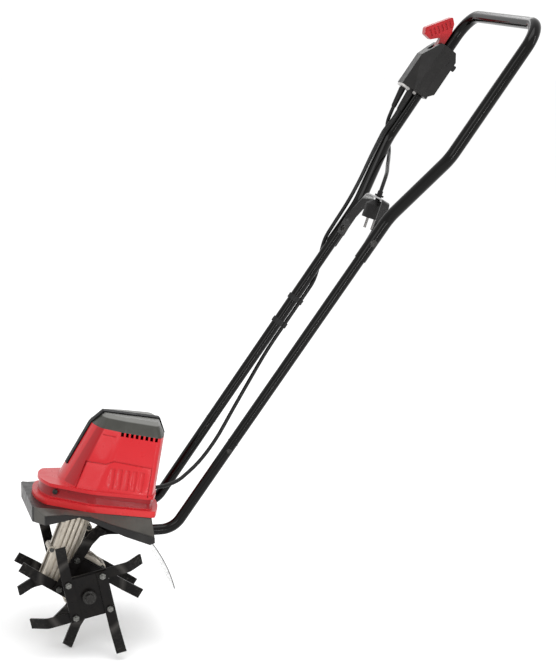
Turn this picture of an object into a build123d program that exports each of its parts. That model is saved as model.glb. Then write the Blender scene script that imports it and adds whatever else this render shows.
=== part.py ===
from build123d import *
import os
from math import atan2, cos, degrees, pi, radians, sin, sqrt, tan

# Corded electric garden tiller. Working frame: X rearwards to the operator, Y across, Z up,
# origin on the tine shaft's axis at mid width. Every part is lowered onto the floor at export.

# ---------------------------------------------------------------- driving dimensions (mm)
# tines
TIP_X, BOLT_OFFSET = 107.0, 30.5       # blade tip and bolt square, from the star's centre
PLATE_SIDE, PLATE_T = 74.0, 3.0
BLADE_W, BLADE_T, BOLT_R = 18.0, 4.0, 3.0
STAR_Y = (120.0, 40.0)                 # outer and inner star planes, each side of the middle
PLATE_TURN = 11.8                      # degrees, outer stars; the inner stars stand 45 further
OUTWARD_BEND, INWARD_BEND, SHORT_BEND = (70.0, 25.0, 9), (80.0, 25.0, 16), (70.0, 6.0, 9)
SHAFT_R, HUB_R, SHAFT_END_Y = 8.0, 13.0, 131.0

# worm drive
MODULE, WHEEL_TEETH, WORM_PD = 1.75, 40, 17.0
WHEEL_W = 10.0
WHEEL_TWIST = 1                        # hand of the wheel's teeth, to suit the worm's thread
WORM_TILT = 22.0                       # degrees, the motor's axis leans back from the vertical
CENTRE_DISTANCE = (MODULE * WHEEL_TEETH + WORM_PD) / 2
WORM_PITCH = pi * MODULE
NECK_HALF, NECK_LOW, NECK_TOP = 23.0, -32.0, 118.0
FLANGE_T, FLANGE_X, FLANGE_Y = 6.0, 37.0, 48.0
MOUNT_X, MOUNT_Y = 28.0, 40.0          # flange screws, each side of the worm's axis
CASE_R, CASE_Y = 45.0, 22.0

# hood and guard
HOOD_TILT, BASE_TILT = 10.5, 9.0       # degrees, tower and skirt both lean back
HOOD_WALL, GUARD_WALL = 2.5, 3.0
SKIRT_LOW, SKIRT_HIGH, LEDGE_V = 140.5, 152.0, 174.0
TOWER_LOW, TOWER_HIGH, CROWN_TOP = 165.0, 282.0, 303.0
GUARD_Y, SHOULDER_Y, SPINE_HALF = 118.0, 88.0, 9.0

# handle
LOW_R, HIGH_R, TUBE_WALL = 9.5, 11.0, 1.2
TUBE_ROOT = (88.0, 102.0)              # x, z where the lower tube starts inside the guard
TUBE_CORNER = (156.0, 102.0)
TUBE_JOINT = (264.0, 252.4)
HANDLE_BOLT = (512.0, 596.9)
GLAND = (36.0, 143.0)                  # y, z where the motor's cable enters the hood
LOW_BEND = (543.0, 640.0)
HIGH_BEND = (624.0, 750.0)
GRIP = (784.0, 975.0)
Y_ROOT, Y_JOINT, Y_BOLT, Y_LOW_BEND = 90.0, 92.0, 96.4, 97.0
Y_HIGH_BEND, Y_GRIP = 183.3, 186.5
CORD_R = 3.5

# ---------------------------------------------------------------- small helpers


def swept(points, radii, outer, inner=0.0):
    """A rod or a tube along a polyline with rounded corners."""
    path = FilletPolyline(*points, radius=radii) if len(points) > 2 else Line(*points)
    start = Plane(origin=path @ 0, z_dir=path % 0)
    solid = sweep(start * Circle(outer), path=path)
    return solid - sweep(start * Circle(inner), path=path) if inner else solid


def rod(start, end, radius, inner=0.0):
    """A straight round bar between two points, bored if inner is given."""
    axis = Vector(*end) - Vector(*start)
    seat = Plane(origin=start, z_dir=axis)
    bar = extrude(seat * Circle(radius), amount=axis.length)
    return bar - extrude(seat * Circle(inner), amount=axis.length) if inner else bar


def hexagon(start, end, across):
    """A straight six-sided bar, as a bolt head or a nut."""
    axis = Vector(*end) - Vector(*start)
    seat = Plane(origin=start, z_dir=axis)
    return extrude(seat * RegularPolygon(across / 2, 6, major_radius=False), amount=axis.length)


def slab(points, y_low, y_high):
    """An outline of (x, z) points, extruded across the machine."""
    seat = Plane(origin=(0, y_low, 0), x_dir=(1, 0, 0), z_dir=(0, -1, 0))
    return extrude(seat * make_face(Polyline(*points, close=True)), amount=-(y_high - y_low))


def box_between(low, high):
    """A box from its lowest to its highest corner."""
    size = [b - a for a, b in zip(low, high)]
    return Pos(*low) * Box(*size, align=(Align.MIN,) * 3)


def both_sides(solid):
    """A piece and its mirror image across the middle plane, as two solids."""
    return Compound([*solid.solids(), *mirror(solid, about=Plane.XZ).solids()])


def group(pieces):
    """Several separate solids kept in one part."""
    return Compound([one for piece in pieces for one in piece.solids()])


# ---------------------------------------------------------------- local frames
def leaning(degrees_back):
    """A frame turned about Y, so that its Z leans towards the operator."""
    return Rot(0, degrees_back, 0)


def in_drive(solid):
    """From the drive's frame (wheel axis Y, worm axis parallel to Z) to the machine's."""
    return leaning(WORM_TILT) * solid


def in_hood(solid):
    return leaning(HOOD_TILT) * solid


def in_base(solid):
    return leaning(BASE_TILT) * solid


# ---------------------------------------------------------------- tines
def blade(bend_at):
    """One flat bar along +X at the bolt square's edge, its outer part bent over to one side."""
    set_at, bend, bend_r = bend_at
    run = TIP_X - set_at
    slope = atan2(bend, run)
    dx, dy = -BLADE_T * sin(slope), BLADE_T * cos(slope)
    knee = BLADE_T * tan(slope / 2)
    side = [(-38, 0), (set_at, 0), (TIP_X, bend), (TIP_X + dx, bend + dy),
            (set_at - knee, BLADE_T), (-38, BLADE_T)]
    bar = extrude(make_face(Polyline(*side, close=True)), amount=BLADE_W / 2, both=True)
    bar = fillet(bar.edges().filter_by(Axis.Z).filter_by(lambda e: abs(e.center().X - set_at) < 9), bend_r)
    holes = [Pos(x, BLADE_T / 2, 0) * Rot(90, 0, 0) * Cylinder(BOLT_R + 0.3, 3 * BLADE_T)
             for x in (-BOLT_OFFSET, BOLT_OFFSET)]
    return Pos(0, 0, BOLT_OFFSET) * (bar - holes)


def star_pieces(y_plane, turn, bends):
    """Four blades of one star on the near side: two on each face of its plate."""
    outer_bend, inner_bend, first_outer = bends
    pieces = []
    for quarter in range(4):
        outer = (quarter % 2 == 0) == first_outer
        one = blade(outer_bend if outer else inner_bend)
        if outer:
            one = mirror(one, about=Plane.XZ)
        lift = -PLATE_T / 2 if outer else PLATE_T / 2
        pieces.append(Pos(0, -y_plane + lift, 0) * Rot(0, -turn - 90 * quarter, 0) * one)
    return pieces


def hub_side():
    """Near hub: a sleeve on the shaft with two square plates welded on."""
    sleeve = rod((0, -34, 0), (0, -STAR_Y[0] - 5, 0), HUB_R)
    for y, turn in zip(STAR_Y, (PLATE_TURN, PLATE_TURN + 45)):
        plate = extrude(RectangleRounded(PLATE_SIDE, PLATE_SIDE, 8), amount=PLATE_T / 2, both=True)
        holes = [Pos(x, z, 0) * Cylinder(BOLT_R + 0.3, 3 * PLATE_T)
                 for x in (-BOLT_OFFSET, BOLT_OFFSET) for z in (-BOLT_OFFSET, BOLT_OFFSET)]
        plate = Rot(0, -turn, 0) * Rot(90, 0, 0) * (plate - holes)
        sleeve += Pos(0, -y, 0) * plate
    sleeve -= rod((0, -20, 0), (0, -200, 0), SHAFT_R)
    return sleeve - rod((0, -80, -30), (0, -80, 30), 3.0)


def star_bolts():
    """Bolts and nuts of both near stars; each runs through a bar, the plate and a bar."""
    pieces = []
    for y, turn in zip(STAR_Y, (PLATE_TURN, PLATE_TURN + 45)):
        outer_face, inner_face = -y - PLATE_T / 2 - BLADE_T, -y + PLATE_T / 2 + BLADE_T
        for quarter in range(4):
            angle = radians(turn + 45 + 90 * quarter)
            x, z = (BOLT_OFFSET * sqrt(2) * f(angle) for f in (cos, sin))
            shank = rod((x, inner_face, z), (x, outer_face - 7, z), BOLT_R)
            pieces.append(shank + hexagon((x, inner_face, z), (x, inner_face + 4, z), 10))
            nut = hexagon((x, outer_face - 5, z), (x, outer_face, z), 10)
            pieces.append(nut - rod((x, outer_face - 5, z), (x, outer_face, z), BOLT_R))
    return pieces


def tine_parts():
    outer = star_pieces(STAR_Y[0], PLATE_TURN, (OUTWARD_BEND, INWARD_BEND, False))
    inner = star_pieces(STAR_Y[1], PLATE_TURN + 45, (OUTWARD_BEND, SHORT_BEND, True))
    hub = hub_side()
    pin = rod((0, -80, -17), (0, -80, 17), 3.0)
    pin += Pos(0, -80, HUB_R + 1.2) * Cylinder(5, 2.4)
    cap = hexagon((0, -SHAFT_END_Y - 5, 0), (0, -SHAFT_END_Y, 0), 13)
    cap += rod((0, -SHAFT_END_Y, 0), (0, -SHAFT_END_Y + 5.5, 0), HUB_R - 1)
    cap += rod((0, -SHAFT_END_Y + 5, 0), (0, -SHAFT_END_Y + 22, 0), 4.0)
    shaft = rod((0, -125.4, 0), (0, 125.4, 0), SHAFT_R)
    shaft -= both_sides(rod((0, -126, 0), (0, -102, 0), 4.0))
    shaft -= both_sides(rod((0, -80, -30), (0, -80, 30), 3.0))
    return {
        "tine_shaft": shaft,
        "tine_hub_near": hub, "tine_hub_far": mirror(hub, about=Plane.XZ),
        "tines_outer_near": group(outer), "tines_outer_far": mirror(group(outer), about=Plane.XZ),
        "tines_inner_near": group(inner), "tines_inner_far": mirror(group(inner), about=Plane.XZ),
        "tine_bolts": both_sides(group(star_bolts())), "hub_fasteners": both_sides(group([pin, cap])),
    }


# ---------------------------------------------------------------- worm drive
def worm_wheel():
    """Bronze wheel; one tooth space faces the worm."""
    root_r = MODULE * WHEEL_TEETH / 2 - 2.3
    tip_r = MODULE * WHEEL_TEETH / 2 + 1.4
    step = 2 * pi / WHEEL_TEETH
    half_root, half_tip = 0.235 * step, 0.075 * step
    outline = []
    for tooth in range(WHEEL_TEETH):
        middle = pi + (tooth + 0.5) * step
        for radius, offset in ((root_r, -half_root), (tip_r, -half_tip),
                               (tip_r, half_tip), (root_r, half_root)):
            outline.append((radius * cos(middle + offset), radius * sin(middle + offset)))
    face = make_face(Polyline(*outline, close=True))
    lead = degrees(WHEEL_W * tan(MODULE / WORM_PD) / (MODULE * WHEEL_TEETH / 2))
    ring = Solid.extrude_linear_with_rotation(face.face(), (0, 0, 0), (0, 0, WHEEL_W), WHEEL_TWIST * lead)
    ring = Pos(0, 0, -WHEEL_W / 2) * Rot(0, 0, -WHEEL_TWIST * lead / 2) * ring
    hub = Cylinder(16, 2 * WHEEL_W) - Cylinder(SHAFT_R, 3 * WHEEL_W)
    wheel = Rot(90, 0, 0) * (ring - Cylinder(15, 3 * WHEEL_W) + hub)
    return wheel - box_between((-2.5, -30, 0), (2.5, 30, SHAFT_R + 2.5))


def worm():
    """Single-start thread on a bored core that is pressed on the motor shaft."""
    crest, root, half_crest, half_root, turns = 9.7, 6.6, 0.62, 1.75, 6
    section = make_face(Polyline((root - 0.6, -half_root), (crest, -half_crest), (crest, half_crest),
                                 (root - 0.6, half_root), close=True))
    section = Plane(origin=(0, 0, 0), x_dir=(1, 0, 0), z_dir=(0, -1, 0)) * section
    thread = sweep(section, path=Helix(WORM_PITCH, turns * WORM_PITCH, root), is_frenet=True)
    body = Cylinder(root, turns * WORM_PITCH + 8) + Pos(0, 0, -turns / 2 * WORM_PITCH) * thread
    return Pos(-CENTRE_DISTANCE, 0, 0) * (body - Cylinder(4.0, 100))


def on_worm_axis(solid):
    return in_drive(Pos(-CENTRE_DISTANCE, 0, 0) * solid)


def disc(z_low, z_high, radius, inner=0.0):
    """A round piece on the motor's axis, in the drive's frame."""
    piece = Pos(0, 0, (z_low + z_high) / 2) * Cylinder(radius, z_high - z_low)
    if inner:
        piece -= Pos(0, 0, (z_low + z_high) / 2) * Cylinder(inner, z_high - z_low + 2)
    return piece


def gear_housing():
    """Aluminium case in two halves, ribbed along the worm's axis."""
    front, rear = -CENTRE_DISTANCE - NECK_HALF, -CENTRE_DISTANCE + NECK_HALF
    neck = box_between((front, -CASE_Y + 2.5, NECK_LOW), (rear, CASE_Y - 2.5, NECK_TOP))
    neck = fillet(neck.edges().filter_by(Axis.Z), 5)
    neck = chamfer(neck.edges().group_by(Axis.Z)[0], 4)
    bowl = Rot(90, 0, 0) * Cylinder(CASE_R, 2 * CASE_Y)
    bosses = Rot(90, 0, 0) * Cylinder(23, 66)
    flange = box_between((-CENTRE_DISTANCE - FLANGE_X, -FLANGE_Y, NECK_TOP),
                         (-CENTRE_DISTANCE + FLANGE_X, FLANGE_Y, NECK_TOP + FLANGE_T))
    case = bowl + neck + bosses + fillet(flange.edges().filter_by(Axis.Z), 8)
    for step in range(5):
        x, rise = front + 3.2 + step * 8.6, 1.0 if step in (0, 4) else 3.5
        case += box_between((x, -CASE_Y - rise, -18), (x + 5.2, CASE_Y + rise, NECK_TOP - 2))
    rim = Rot(90, 0, 0) * (Cylinder(CASE_R + 2, 9) - Cylinder(CASE_R - 4, 9))
    seam = box_between((front - 3, -4.5, -24), (front + 3, 4.5, NECK_TOP - 4))
    screws = [(front - 1, 34), (front - 1, 92), (rear + 2, 92), (30, 32), (34, -28), (-8, -44)]
    ears = [Pos(x, 0, z) * Rot(90, 0, 0) * Cylinder(6, 2 * CASE_Y - 6) for x, z in screws]
    case = case + rim + seam + ears
    space = Rot(90, 0, 0) * Cylinder(CASE_R - 5, WHEEL_W + 14)
    space += Pos(-CENTRE_DISTANCE, 0, 0) * disc(NECK_LOW + 5, 62, 12.5)
    space += Pos(-CENTRE_DISTANCE, 0, 0) * disc(62, NECK_TOP + 8, 14)
    space += Rot(90, 0, 0) * Cylinder(14, 80)
    case = case - space
    bolts = []
    for x, z in screws:
        across = Pos(x, 0, z) * Rot(90, 0, 0)
        case -= across * Cylinder(2.1, 4 * CASE_Y)
        case -= [Pos(0, side * (CASE_Y + 2), 0) * across * Cylinder(4.0, 10) for side in (-1, 1)]
        bolts.append(rod((x, -CASE_Y + 3, z), (x, CASE_Y - 3, z), 2.0)
                     + rod((x, -CASE_Y - 1, z), (x, -CASE_Y + 3, z), 3.9))
    case -= [Pos(-CENTRE_DISTANCE, 0, 0) * one for one in mount_columns(NECK_TOP - 1, NECK_TOP + 8, 2.6)]
    case = in_drive(case)
    near = case & box_between((-200, -100, -200), (200, 0, 300))
    far = case & box_between((-200, 0, -200), (200, 100, 300))
    return near, far, in_drive(group(bolts))


def mount_columns(z_low, z_high, radius):
    """Four round columns on the flange's screw positions, in the drive's frame."""
    return [Pos(x, y, 0) * disc(z_low, z_high, radius)
            for x in (-MOUNT_X, MOUNT_X) for y in (-MOUNT_Y, MOUNT_Y)]


def drive_parts():
    near, far, screws = gear_housing()
    axle_ring = rod((0, -33, 0), (0, -22, 0), 14, SHAFT_R + 0.05)
    seal = rod((0, -33.6, 0), (0, -33, 0), 15.5, SHAFT_R + 0.05)
    bearings = group([disc(64, 76, 14, 5.05), disc(104, 116, 14, 5.05), disc(-26, -21, 12.5, 4.05),
                      disc(246.2, 256, 11, 4.05)])
    return {
        "gear_housing_near": near, "gear_housing_far": far, "gear_housing_screws": screws,
        "tine_shaft_bearings": both_sides(axle_ring), "shaft_seals": both_sides(seal),
        "drive_bearings": on_worm_axis(bearings),
        "worm": in_drive(worm()), "worm_wheel": in_drive(worm_wheel()),
    }


# ---------------------------------------------------------------- motor
def armature_core():
    """Stack of laminations with a slot for every coil."""
    core = disc(150, 200, 23.5, 5.0)
    slots = [Rot(0, 0, 30 * k) * box_between((17, -1.6, 149), (30, 1.6, 201)) for k in range(12)]
    return core - slots


def armature_windings():
    ends = disc(138, 149.6, 20, 5.0) + disc(200.4, 212, 20, 5.0)
    bars = [Rot(0, 0, 30 * k) * box_between((17.3, -1.3, 149), (22.3, 1.3, 201)) for k in range(12)]
    return ends + bars


def commutator():
    ring = disc(216, 238, 13, 5.0)
    cuts = [Rot(0, 0, 15 * k) * box_between((12, -0.3, 217), (14, 0.3, 237)) for k in range(24)]
    return ring - cuts


def cooling_fan():
    plate = disc(131, 132.5, 27, 5.0) + disc(126, 132.5, 10, 5.0)
    blades = [Rot(0, 0, 36 * k) * Pos(17.5, 0, 128.5) * Rot(0, 0, 25) * Box(17, 1.6, 5.4)
              for k in range(10)]
    return plate + blades


def brush_gear():
    """Holders, brushes and springs, one of each on opposite sides of the commutator."""
    holder = box_between((14.5, -6, 222), (34, 6, 232)) + box_between((26, -6, 217), (34, 6, 222))
    holder -= box_between((13, -4, 224), (32, 4, 230))
    brush = box_between((13.2, -3.9, 224.1), (24, 3.9, 229.9))
    spring = Pos(28, 0, 227) * Rot(0, 90, 0) * (Cylinder(2.6, 7.6) - Cylinder(1.6, 9))
    return [group([Rot(0, 0, side) * one for side in (45, 225)]) for one in (holder, brush, spring)]


def motor_parts():
    core = disc(150, 200, 38, 24.2)
    coil = box_between((26.5, -15, 143), (31, 15, 207)) - box_between((25, -10, 149.7), (35, 10, 200.3))
    for side in (0, 180):
        core -= [Rot(0, 0, side) * box_between((22, y, 149), (31.3, y + 6, 201)) for y in (-15.5, 9.5)]
    coils = group([Rot(0, 0, side) * coil for side in (0, 180)])
    lower = disc(134, 137, 38, 12) + disc(134, 150, 38, 35.5)
    lower -= [Rot(0, 0, 90 * k) * box_between((20, -8, 130), (34, 8, 140)) for k in range(4)]
    lower += [Rot(0, 0, 45 + 90 * k) * Pos(33.5, 0, 0) * disc(NECK_TOP + FLANGE_T, 135, 4)
              for k in range(4)]
    upper = disc(200, 214, 38, 35.5) + disc(246, 250, 26, 12) + disc(246, 258, 14, 11)
    upper += disc(214, 217, 38, 22)
    upper += [Rot(0, 0, 90 * k) * box_between((22.5, -5, 215), (26, 5, 250)) for k in range(4)]
    holders, brushes, springs = brush_gear()
    inner = {
        "motor_stator": core, "field_coils": coils, "motor_lower_bracket": lower,
        "motor_upper_bracket": upper, "brush_holders": holders, "carbon_brushes": brushes,
        "brush_springs": springs, "armature_shaft": disc(-25, 264, 4.0) + disc(62, 245, 5.0),
        "armature_core": armature_core(), "armature_windings": armature_windings(),
        "commutator": commutator(), "cooling_fan": cooling_fan(),
    }
    return {name: on_worm_axis(solid) for name, solid in inner.items()}


# ---------------------------------------------------------------- hood
def plan(front, nose, front_half, middle, middle_half, rear, tail, rear_half):
    """Outline seen from above: a bowed front, flaring flanks and a bowed rear."""
    edges = [
        ThreePointArc((front, front_half), (nose, 0), (front, -front_half)),
        Line((front, -front_half), (middle, -middle_half)),
        Line((middle, -middle_half), (rear, -rear_half)),
        ThreePointArc((rear, -rear_half), (tail, 0), (rear, rear_half)),
        Line((rear, rear_half), (middle, middle_half)),
        Line((middle, middle_half), (front, front_half)),
    ]
    face = make_face(edges)
    corners = face.vertices().filter_by(lambda v: abs(v.X - middle) > 1)
    face = fillet(corners, 9)
    return fillet(face.vertices().filter_by(lambda v: abs(v.X - middle) < 1), 40)


def prism(outline, low, high):
    return extrude(Pos(0, 0, low) * outline, amount=high - low)


def tower(inset):
    """Upper part of the hood: sloping front, leaning flanks, low crown."""
    levels = (
        (TOWER_LOW, plan(-52 + inset, -70 + inset, 65 - inset, -10, 80 - inset, 88 - inset, 106 - inset,
                         83 - inset)),
        (TOWER_HIGH, plan(-11 + inset, -25 + inset, 48 - inset, 22, 63 - inset, 88 - inset, 106 - inset,
                          77 - inset)),
        (CROWN_TOP - inset, plan(2 + inset, -5 + inset, 22, 32, 32, 86 - inset, 94 - inset, 40)),
    )
    faces = [Pos(0, 0, v) * face for v, face in levels]
    return loft(faces[:2], ruled=True) + loft(faces[1:], ruled=True)


def base_outline(grow):
    return plan(-82 - grow, -97 - grow, 53.4 + grow, -12, 84 + grow, 96 + grow, 112 + grow, 84 + grow)


def skirt(inset):
    """Lower part of the hood: flange, set-back band and ledge."""
    lip = base_outline(-3 - inset)
    band = loft([Pos(0, 0, SKIRT_HIGH) * lip, Pos(0, 0, LEDGE_V) * base_outline(-6 - inset)], ruled=True)
    low = SKIRT_LOW if not inset else SKIRT_LOW - 10
    flange = prism(base_outline(6 - inset), low, SKIRT_HIGH - inset) + prism(lip, low, SKIRT_HIGH + 1)
    ledge_grow = -6 - inset if inset else 0.0
    return flange + band + prism(base_outline(ledge_grow), LEDGE_V - 3, LEDGE_V + 3 - inset)


PANEL = [(-44, 172), (-31, 221.5), (1, 223), (14, 230), (80, 227), (80, 172)]


def flank_panel():
    """Raised panel with flutes on the near flank."""
    panel = (tower(-1.4) & slab(PANEL, -110, -40)) - tower(0)
    flutes = group([slab([(u, 184), (u, 219), (u + 8, 219), (u + 8, 184)], -110, -40)
                    for u in (10, 23, 36, 49, 62)])
    return panel - (flutes - tower(-0.2))


def flank_groove():
    """Narrow groove round the panel and along the tower below its crown cover."""
    seat = Plane(origin=(0, -110, 0), x_dir=(1, 0, 0), z_dir=(0, -1, 0))
    edge = make_face(Polyline(*PANEL, close=True))
    ring = extrude(seat * (offset(edge, 1.8, kind=Kind.INTERSECTION) - edge), amount=-70)
    step = slab([(-9, 273), (12, 273), (12, 271.4), (-9, 271.4)], -110, -40)
    return (ring + step) - tower(1.3) - slab([(-60, 150), (100, 150), (100, 176), (-60, 176)], -120, -30)


HOOD_FEET = ((-66.0, 50.0), (78.0, 74.0))     # screw bosses in the skirt, mirrored across


def hood_feet(low, high, radius):
    """Columns in the base's frame on the four screw bosses."""
    return [Pos(u, side * y, 0) * disc(low, high, radius) for u, y in HOOD_FEET for side in (-1, 1)]


def side_screw_ends(side, inner, outer):
    """Ends of a line square to the band at the skirt's front side screw, in the base's frame."""
    slope = atan2(84.0 - 49.0, 80.0)
    return [(-72 - reach * sin(slope), side * (53.4 + reach * cos(slope)), 163) for reach in (inner, outer)]


def hood_parts():
    outer = in_hood(tower(0)) + in_base(skirt(0))
    hollow = in_hood(tower(HOOD_WALL)) + in_base(skirt(HOOD_WALL))
    shell = outer - hollow
    cover_region = in_hood(box_between((-200, -200, TOWER_HIGH), (300, 200, 400)))
    cover = shell & cover_region
    hood = shell - cover_region + in_base(group([foot & skirt(1.0) for foot in hood_feet(140.5, 160, 5)]))
    slots = [box_between((20 + 8.4 * k, -120, TOWER_HIGH - 7), (25 + 8.4 * k, 120, TOWER_HIGH + 1))
             for k in range(8)]
    hood = hood - in_hood(flank_groove()) + in_hood(flank_panel())
    hood -= in_hood(group(slots)) + in_base(group(hood_feet(140, 153, 2)))
    hood -= rod((90, GLAND[0], GLAND[1]), (170, GLAND[0], GLAND[1]), 7)
    for side in (-1, 1):
        hood -= in_base(rod(*side_screw_ends(side, -8, 3), 2.1))
        hood -= in_base(rod(*side_screw_ends(side, -0.4, 4), 5))
    run = [(-90, 203), (-20, 203), (-20, 290), (75, 290), (75, 264), (130, 264), (130, 330), (-90, 330)]
    band = (tower(-2.2) & slab(run, -SPINE_HALF, SPINE_HALF)) - tower(0)
    return hood, cover, in_hood(band)


# ---------------------------------------------------------------- guard
DECK = [(-90, 146), (-37, 147), (8, 139.5), (45, 123), (118, 95)]
GUARD_EDGE = [(118, 86), (109, 83), (66, 101), (10, 130), (-13, 141), (-58, 133), (-90, 129)]
FLAP_RIVETS = (-90.0, -45.0, 0.0, 45.0, 90.0)
CLAMP_X = 102.0


def base_height(x):
    """Height of the plane on which the hood stands."""
    return (SKIRT_LOW - x * sin(radians(BASE_TILT))) / cos(radians(BASE_TILT))


def guard_plan(inset):
    """The guard's outline from above, with its front corners cut back."""
    front, rear, half = DECK[0][0] + inset, DECK[-1][0] + 1, GUARD_Y - inset
    corner = (front, 80 - 0.222 * inset), (front + 18 - 0.368 * inset, half)
    near = [(x, -y) for x, y in corner]
    return make_face(Polyline(*corner, (rear, half), (rear, -half), *near[::-1], close=True))


def guard_block(drop, inset):
    """Guard as a full block; drop and inset make the block that hollows it."""
    ends = {0: inset, len(DECK) - 1: -inset}
    deck = [(x + ends.get(k, 0), z - drop) for k, (x, z) in enumerate(DECK)]
    edge = GUARD_EDGE if not drop else [(deck[-1][0], 40), (deck[0][0], 60)]
    block = slab(deck + edge, -GUARD_Y + inset, GUARD_Y - inset)
    top = [(x, max(base_height(x) - drop, z + 0.6)) for x, z in deck]
    centre = slab(deck + top[::-1], -SHOULDER_Y, SHOULDER_Y)
    brink = [(x, z + 0.5) for x, z in deck]
    sections = []
    for y, high in ((-GUARD_Y + 2 + inset, brink), (-SHOULDER_Y, top)):
        seat = Plane(origin=(0, y, 0), x_dir=(1, 0, 0), z_dir=(0, -1, 0))
        sections.append(seat * make_face(Polyline(*(deck + high[::-1]), close=True)))
    shoulder = loft(sections, ruled=True)
    return (block + centre + shoulder + mirror(shoulder, about=Plane.XZ)) & prism(guard_plan(inset), 30, 200)


def rear_flap():
    """Clear sheet that hangs inside the guard's rear wall and curves over the tines."""
    edges = [Line((114.9, 91), (114.9, 84)), ThreePointArc((114.9, 84), (139, 43), (155, -3)),
             Line((155, -3), (153.6, -3.4)), ThreePointArc((153.6, -3.4), (137.6, 42.4), (113.4, 83.6)),
             Line((113.4, 83.6), (113.4, 91)), Line((113.4, 91), (114.9, 91))]
    flap = extrude(Plane.XZ * make_face(edges), amount=107, both=True)
    return flap - [rod((112, y, 87.8), (117, y, 87.8), 1.5) for y in FLAP_RIVETS]


def guard_parts():
    solid, inside = guard_block(0, 0), guard_block(GUARD_WALL, GUARD_WALL)
    guard = solid - inside
    for column in mount_columns(NECK_TOP + FLANGE_T, 155, 6.5):
        guard += on_worm_axis(column) & solid
    guard -= Rot(90, 0, 0) * Cylinder(119, 2 * GUARD_Y - 2 * GUARD_WALL)
    guard -= on_worm_axis(box_between((-FLANGE_X - 0.5, -FLANGE_Y - 0.5, 100),
                                      (FLANGE_X + 0.5, FLANGE_Y + 0.5, NECK_TOP + FLANGE_T)))
    guard -= on_worm_axis(disc(100, 200, 40))
    guard -= [on_worm_axis(one) for one in mount_columns(NECK_TOP, NECK_TOP + 20, 2.5)]
    guard -= [in_base(one) for one in hood_feet(130, 145, 2.1)]
    guard -= [rod((60, side * Y_ROOT, TUBE_ROOT[1]), (170, side * Y_ROOT, TUBE_ROOT[1]), LOW_R + 0.2)
              for side in (-1, 1)]
    guard -= [rod((110, y, 87.8), (125, y, 87.8), 1.5) for y in FLAP_RIVETS]
    clamp = box_between((CLAMP_X - 9, -Y_ROOT - 13, 86), (CLAMP_X + 9, -Y_ROOT + 13, 116)) & inside
    clamp -= rod((60, -Y_ROOT, TUBE_ROOT[1]), (170, -Y_ROOT, TUBE_ROOT[1]), LOW_R)
    clamp -= rod((CLAMP_X, -Y_ROOT, 80), (CLAMP_X, -Y_ROOT, 96), 2.5)
    return guard, clamp


def body_screws():
    """Screws of the hood, the drive's flange and the tube clamps, and the flap's rivets."""
    fixings = [on_worm_axis(one) for one in mount_columns(NECK_TOP, NECK_TOP + 18, 2.5)]
    fixings = [shank + on_worm_axis(head) for shank, head in
               zip(fixings, mount_columns(NECK_TOP - 2, NECK_TOP, 4.5))]
    fixings += [in_base(shank + head) for shank, head in
                zip(hood_feet(137, 152, 2), hood_feet(134, 137, 4))]
    for side in (-1, 1):
        shank, head = rod(*side_screw_ends(side, -7, 0), 2), rod(*side_screw_ends(side, -0.3, 2.4), 4.6)
        fixings.append(in_base(shank + head))
        clamp = rod((CLAMP_X, side * Y_ROOT, 84), (CLAMP_X, side * Y_ROOT, 92.4), 2.5)
        fixings.append(clamp + rod((CLAMP_X, side * Y_ROOT, 82.5), (CLAMP_X, side * Y_ROOT, 86), 5))
    for y in FLAP_RIVETS:
        rivet = rod((112, y, 87.8), (119.5, y, 87.8), 1.5)
        heads = rod((111, y, 87.8), (113.4, y, 87.8), 2.6) + rod((118, y, 87.8), (119.5, y, 87.8), 2.6)
        fixings.append(rivet + heads)
    return fixings


# ---------------------------------------------------------------- handle
def at(side, place, y):
    """A 3-D point on one side of the machine."""
    return place[0], side * y, place[1]


def between(a, b, share):
    return tuple(p + (q - p) * share for p, q in zip(a, b))


def tube_parts():
    parts, screws = {}, []
    for name, side in (("near", -1), ("far", 1)):
        joint, top = at(side, TUBE_JOINT, Y_JOINT), at(side, LOW_BEND, Y_LOW_BEND)
        lower = swept([at(side, TUBE_ROOT, Y_ROOT), at(side, TUBE_CORNER, Y_ROOT), joint], [42],
                      LOW_R, LOW_R - TUBE_WALL)
        lower += rod(between(joint, top, -0.004), joint, LOW_R + 0.5, LOW_R - 0.2)
        bore = LOW_R - TUBE_WALL
        seam = between(joint, top, 0.0005)
        upper = rod(seam, between(joint, top, 0.962), LOW_R, bore)
        upper += rod(seam, between(joint, top, 0.05), bore + 0.05, bore - 1.4)
        upper += rod(between(joint, top, -0.06), seam, bore - 0.15, bore - 1.4)
        x, y, z = between(joint, top, -0.035)
        hole = rod((x, y - 20, z), (x, y + 20, z), 2.5)
        head_y = y + side * (LOW_R - 0.6)
        parts["lower_tube_" + name] = lower - hole - rod((x, head_y, z), (x, head_y + side * 9, z), 4.6)
        parts["mid_tube_" + name] = upper - hole - handle_bolt_hole(side)
        screws.append(rod((x, y - side * 7, z), (x, head_y, z), 2.5)
                      + rod((x, head_y, z), (x, head_y + side * 3, z), 4.5))
    return parts, screws


def handle_bolt_hole(side):
    return rod((HANDLE_BOLT[0], side * 60, HANDLE_BOLT[1]), (HANDLE_BOLT[0], side * 130, HANDLE_BOLT[1]), 3.0)


def handle_points(side):
    slope = atan2(LOW_BEND[1] - TUBE_JOINT[1], LOW_BEND[0] - TUBE_JOINT[0])
    reach = 89.0
    foot = (LOW_BEND[0] - reach * cos(slope), side * (Y_LOW_BEND - 0.9), LOW_BEND[1] - reach * sin(slope))
    return [foot, at(side, LOW_BEND, Y_LOW_BEND), at(side, HIGH_BEND, Y_HIGH_BEND), at(side, GRIP, Y_GRIP)]


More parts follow.
